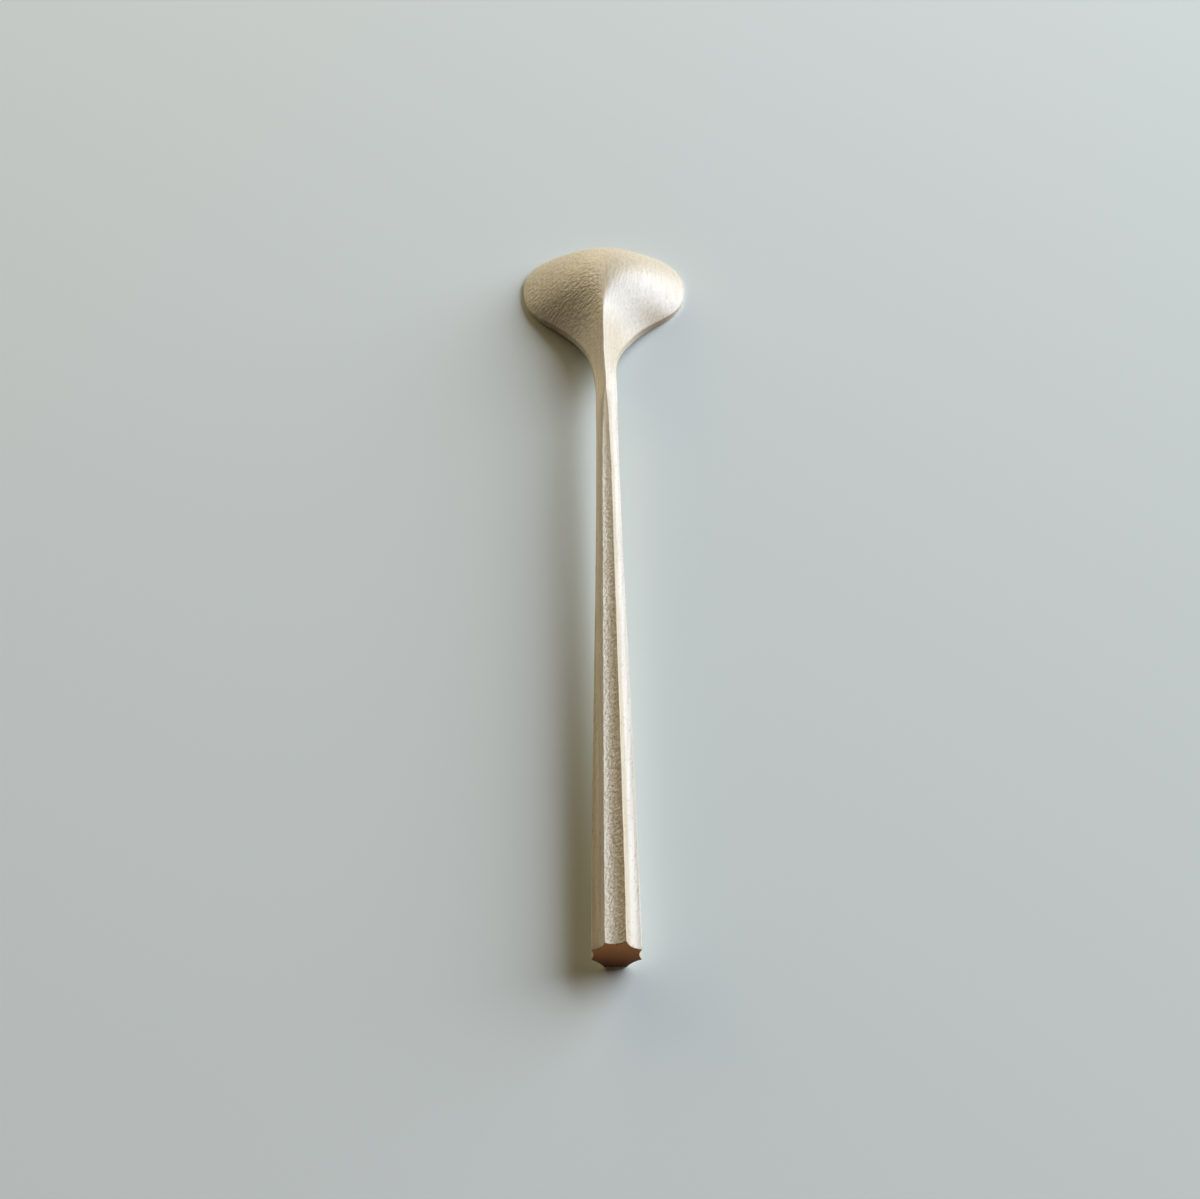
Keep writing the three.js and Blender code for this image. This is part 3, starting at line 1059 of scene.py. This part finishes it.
@dataclass(frozen=True)
class MapleFinish:
    """Hard maple, cut with a gouge, scraped and left bare.

    The wood is pale and close grained, with faint lines along the grain, short dark flecks
    and a satin sheen. Where the grain is cut across, as on the handle's end and under the
    shoulders, it is darker and duller, and a painted shade makes it darker still toward the
    table. The tools leave marks that show where light rakes the wood: fine lines along the
    scraped sides, strokes down the bowl's left slope, and short slanting tears in the top
    flute, which is duller too. The real lines are about a tenth of a millimetre apart, and
    are drawn four times as coarse, so that they show.

    Attributes:
        light: Colour of the wood between the lines.
        dark: Colour of the lines.
        fleck: Colour of the flecks.
        end_grain: Colour of the wood where its grain is cut across.
        end_painted_shade: Painted shade: the end grain's colour near the table, where it is
            darkened as if by the shade that falls there.
        end_shade_heights: Heights between which that painted shade comes in, in millimetres.
        end_facing: Share of the normal toward the tip where the grain starts to be cut across,
            and where it is fully so.
        roughness: Roughness along the grain.
        end_roughness: Roughness across the grain.
        flute_roughness: Roughness in the top flute.
        streaks: The lines along the grain.
        flecks: The short flecks.
        side_marks: Lines of the scraper.
        flute_marks: Tears in the top flute.
        left_marks: Strokes on the bowl's left slope.
        left_facing: Share of the normal to the right where those strokes start, and where
            they are full.
        left_span: Distances ahead of the spoon's middle between which they come in, in
            millimetres.
        relief: Height of the marks, in millimetres.
        refraction: Refractive index of the wood's surface.
        gloss: Strength of the sheen, 0.5 being that of plain gloss.
        gloss_tint: Colour of the sheen.
    """

    light: str = "#e6dbc3"
    dark: str = "#d5c7aa"
    fleck: str = "#96774d"
    end_grain: str = "#cf8a48"
    # The two fields below paint shade on the end grain: it is darker toward the table, where shade falls.
    end_painted_shade: str = "#5e2a0a"
    end_shade_heights: tuple[float, float] = (8.0, -1.0)
    end_facing: tuple[float, float] = (-0.4, -0.95)
    roughness: float = 0.38
    end_roughness: float = 1.0
    flute_roughness: float = 0.5
    streaks: Pattern = Pattern((0.45, 14.0, 0.45), octaves=2.0)
    flecks: Pattern = Pattern((0.34, 0.95, 0.9), turn=-23.0, octaves=1.0, low=0.56, high=0.76, highest=0.3)
    side_marks: Pattern = Pattern((0.4, 3.0, 1.5), turn=-16.0, octaves=1.0, highest=0.4)
    flute_marks: Pattern = Pattern((0.42, 1.1, 1.1), turn=-31.0, octaves=1.0, highest=1.9)
    left_marks: Pattern = Pattern((0.7, 1.2, 1.2), turn=-62.0, octaves=2.0, highest=2.1)
    left_facing: tuple[float, float] = (0.05, -0.25)
    left_span: tuple[float, float] = (38.0, 62.0)
    relief: float = 0.05
    refraction: float = 1.5
    gloss: float = 1.12
    gloss_tint: str = "#cddffa"

    def material(self) -> bpy.types.Material:
        """Makes the material.

        Returns:
            The maple.
        """
        maple, tree = new_tree("scraped_maple")
        where = add_node(tree, "TexCoord")
        at, facing = (add_node(tree, "SeparateXYZ", {"Vector": where[key]}) for key in ("Object", "Normal"))
        flute = add_node(tree, "Attribute", attribute_name=FLUTE_ATTRIBUTE)["Fac"]
        spans = (
            (facing["Y"], self.end_facing, 1.0),
            # Painted shade: 1 near the table, where the end grain is darkened.
            (at["Z"], self.end_shade_heights, MM),
            (at["Y"], self.left_span, MM),
            (facing["X"], self.left_facing, 1.0),
        )
        end, foot, bowl, left = (
            add_node(
                tree,
                "MapRange",
                {"Value": value, "From Min": unit * start, "From Max": unit * full},
                interpolation_type="SMOOTHSTEP",
            )["Result"]
            for value, (start, full), unit in spans
        )
        slope = add_node(tree, "Math", {"Value": bowl, "Value_001": left}, operation="MULTIPLY")["Value"]
        rough: Any = self.roughness
        for share, over in ((flute, self.flute_roughness), (end, self.end_roughness)):
            inputs = {"Factor_Float": share, "A_Float": rough, "B_Float": over}
            rough = add_node(tree, "Mix", inputs)["Result_Float"]
        marks = self.marks(tree, where["Object"], slope, flute)
        relief = add_node(tree, "Bump", {"Height": marks, "Distance": self.relief * MM})
        shader = add_node(
            tree,
            "BsdfPrincipled",
            {
                "Base Color": self.colour(tree, where["Object"], end, foot),
                "Roughness": rough,
                "IOR": self.refraction,
                "Specular IOR Level": self.gloss,
                "Specular Tint": linear(self.gloss_tint),
                "Normal": relief["Normal"],
            },
        )
        add_node(tree, "OutputMaterial", {"Surface": shader["BSDF"]})
        return maple

    def colour(self, tree: Tree, place: Socket, end: Socket, foot: Socket) -> Socket:
        """Adds the colour of the wood: streaks, flecks over them, and the end grain over both.

        Args:
            tree: Node tree of the material.
            place: Position in metres.
            end: 1 where the grain is cut across.
            foot: 1 near the table, where the end grain gets its painted shade.

        Returns:
            The socket that gives the colour.
        """
        # Near the table the end grain is mixed toward a darker colour: painted shade where the wood meets
        # the floor.
        grain_and_painted_shade = {"A_Color": linear(self.end_grain), "B_Color": linear(self.end_painted_shade)}
        across = add_node(tree, "Mix", {"Factor_Float": foot, **grain_and_painted_shade}, data_type="RGBA")["Result_Color"]
        colour: Any = linear(self.light)
        layers = (
            (self.streaks.socket(tree, place), linear(self.dark)),
            (self.flecks.socket(tree, place), linear(self.fleck)),
            (end, across),
        )
        for share, over in layers:
            inputs = {"Factor_Float": share, "A_Color": colour, "B_Color": over}
            colour = add_node(tree, "Mix", inputs, data_type="RGBA")["Result_Color"]
        return colour

    def marks(self, tree: Tree, place: Socket, slope: Socket, flute: Socket) -> Socket:
        """Adds the marks of the tools.

        Args:
            tree: Node tree of the material.
            place: Position in metres.
            slope: 1 on the bowl's left slope.
            flute: 1 in the top flute.

        Returns:
            The socket that gives the height of the marks.
        """
        height = self.side_marks.socket(tree, place)
        for share, marks in ((slope, self.left_marks), (flute, self.flute_marks)):
            inputs = {"Factor_Float": share, "A_Float": height, "B_Float": marks.socket(tree, place)}
            height = add_node(tree, "Mix", inputs)["Result_Float"]
        return height


@dataclass(frozen=True)
class Floor:
    """A table top in pale matt paint, which shows soft shadows and no reflections. Metres.

    Attributes:
        radius: Radius of the disc.
        drop: It lies this far under the spoon, so that the two don't share a plane.
        sides: Number of its sides.
        colour: Colour of the paint.
        roughness: Roughness of the paint.
    """

    radius: float = 2.5
    drop: float = 0.02 * MM
    sides: int = 96
    colour: str = "#eaf6fb"
    roughness: float = 0.95

    def build(self) -> bpy.types.Object:
        """Makes the floor: a disc whose edge is at even angles round its middle.

        Returns:
            The floor, just under the spoon.
        """
        turn = np.linspace(0.0, 2.0 * math.pi, self.sides, endpoint=False)
        edge = np.stack([np.cos(turn), np.sin(turn), np.zeros_like(turn)], axis=1) * self.radius
        edge[:, 2] = -self.drop
        mesh = bpy.data.meshes.new("floor")
        mesh.from_pydata(edge, [], [range(self.sides)])
        mesh.materials.append(self.material())
        return put_in_scene("floor", mesh)

    def material(self) -> bpy.types.Material:
        """Makes the matt paint of the table top.

        Returns:
            The paint.
        """
        paint, tree = new_tree("matt_pale_paint")
        look = {"Base Color": linear(self.colour), "Roughness": self.roughness}
        shader = add_node(tree, "BsdfPrincipled", look)
        add_node(tree, "OutputMaterial", {"Surface": shader["BSDF"]})
        return paint


@dataclass(frozen=True)
class Window:
    """A large soft lamp that faces the spoon. Degrees and metres.

    Attributes:
        name: Name of the lamp.
        azimuth: Angle from straight along the spoon, toward its right side.
        elevation: Angle above the floor.
        width: Size from side to side.
        height: Size from top to bottom.
        level: Brightness.
        colour: Colour of its light.
        distance: Distance from the spoon.
    """

    name: str
    azimuth: float
    elevation: float
    width: float
    height: float
    level: float
    colour: str
    distance: float

    def build(self) -> None:
        """Places the lamp.

        A lamp of power P and area A has the brightness P / (pi A).
        """
        data = bpy.data.lights.new(self.name, "AREA")
        data.shape = "RECTANGLE"
        data.size, data.size_y = self.width, self.height
        data.color = linear(self.colour)[:3]
        data.energy = self.level * math.pi * self.width * self.height
        lamp = put_in_scene(self.name, data)
        toward = direction(self.azimuth, self.elevation)
        lamp.location = toward * self.distance
        lamp.rotation_euler = toward.to_track_quat("Z", "Y").to_euler()


@dataclass(frozen=True)
class Room:
    """Light of the room: a bright window, a dim one to its left, and a faint even fill.

    Attributes:
        key: The bright window, behind the spoon and to its right.
        side: The dim one, which lifts the surfaces that face left.
        fill: Brightness of the fill.
        fill_colour: Colour of the fill.
        backdrop: Colour that the camera sees behind the floor.
    """

    key: Window = Window(
        "key_window",
        azimuth=56.0,
        elevation=25.0,
        width=2.4,
        height=2.15,
        level=5.5,
        colour="#f8fbff",
        distance=2.4,
    )
    side: Window = Window(
        "side_window",
        azimuth=-28.0,
        elevation=14.0,
        width=1.6,
        height=0.7,
        level=3.2,
        colour="#fae4b0",
        distance=1.6,
    )
    fill: float = 0.062
    fill_colour: str = "#f4c484"
    backdrop: str = "#dfe2e2"

    def build(self) -> None:
        """Places the windows and sets the fill."""
        self.key.build()
        self.side.build()
        world = bpy.data.worlds.new("room")
        world.use_nodes = True
        tree = world.node_tree
        tree.nodes.clear()
        seen = add_node(tree, "LightPath")["Is Camera Ray"]
        fill = add_node(tree, "Background", {"Color": linear(self.fill_colour), "Strength": self.fill})
        backdrop = add_node(tree, "Background", {"Color": linear(self.backdrop)})
        shaders = {"Shader": fill["Background"], "Shader_001": backdrop["Background"]}
        both = add_node(tree, "MixShader", {"Fac": seen, **shaders})
        add_node(tree, "OutputWorld", {"Surface": both["Shader"]})
        bpy.context.scene.world = world


@dataclass(frozen=True)
class Viewpoint:
    """Where the photograph was taken from. Millimetres and degrees.

    Attributes:
        place: Place of the lens, from the middle of the spoon.
        down: Angle below the horizon that it looks.
        aside: Angle to the right of straight along the spoon.
        lens: Focal length.
        frame_width: Width of the frame that the lens throws its picture on.
        sees: Nearest and farthest distance that it sees, in metres.
    """

    place: tuple[float, float, float] = (-4.75, -284.65, 291.0)
    down: float = 47.0
    aside: float = 0.6
    lens: float = 60.0
    frame_width: float = 36.0
    sees: tuple[float, float] = (0.01, 20.0)

    def build(self) -> None:
        """Places the camera and makes it the scene's own."""
        data = bpy.data.cameras.new("camera")
        data.lens = self.lens
        data.sensor_width = self.frame_width
        data.clip_start, data.clip_end = self.sees
        camera = put_in_scene("camera", data)
        camera.location = Vector(self.place) * MM
        camera.rotation_euler = direction(self.aside, -self.down).to_track_quat("-Z", "Y").to_euler()
        bpy.context.scene.camera = camera


def main() -> None:
    """Builds the camera, the spoon and its surroundings."""
    logging.basicConfig(level=logging.INFO, format="%(name)s: %(message)s")
    Viewpoint().build()
    low, high = (Vector(corner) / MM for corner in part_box(NODE))
    spoon = Spoon(length=high.y - low.y, bowl_width=high.x - low.x, back_height=high.z)
    piece = spoon.build()
    piece.data.materials.append(MapleFinish().material())
    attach(piece, BODY)
    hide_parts(NODE)
    floor = Floor().build()
    floor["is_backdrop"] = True
    Room().build()
    bpy.context.scene.view_settings.view_transform = "Standard"

    boxes = {"cad": CAD_BOX, "visual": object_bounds()}
    for name, corners in boxes.items():
        log.info("%s box: %s", name, [[round(v / MM, 3) for v in corner] for corner in corners])


if __name__ == "__main__":
    main()
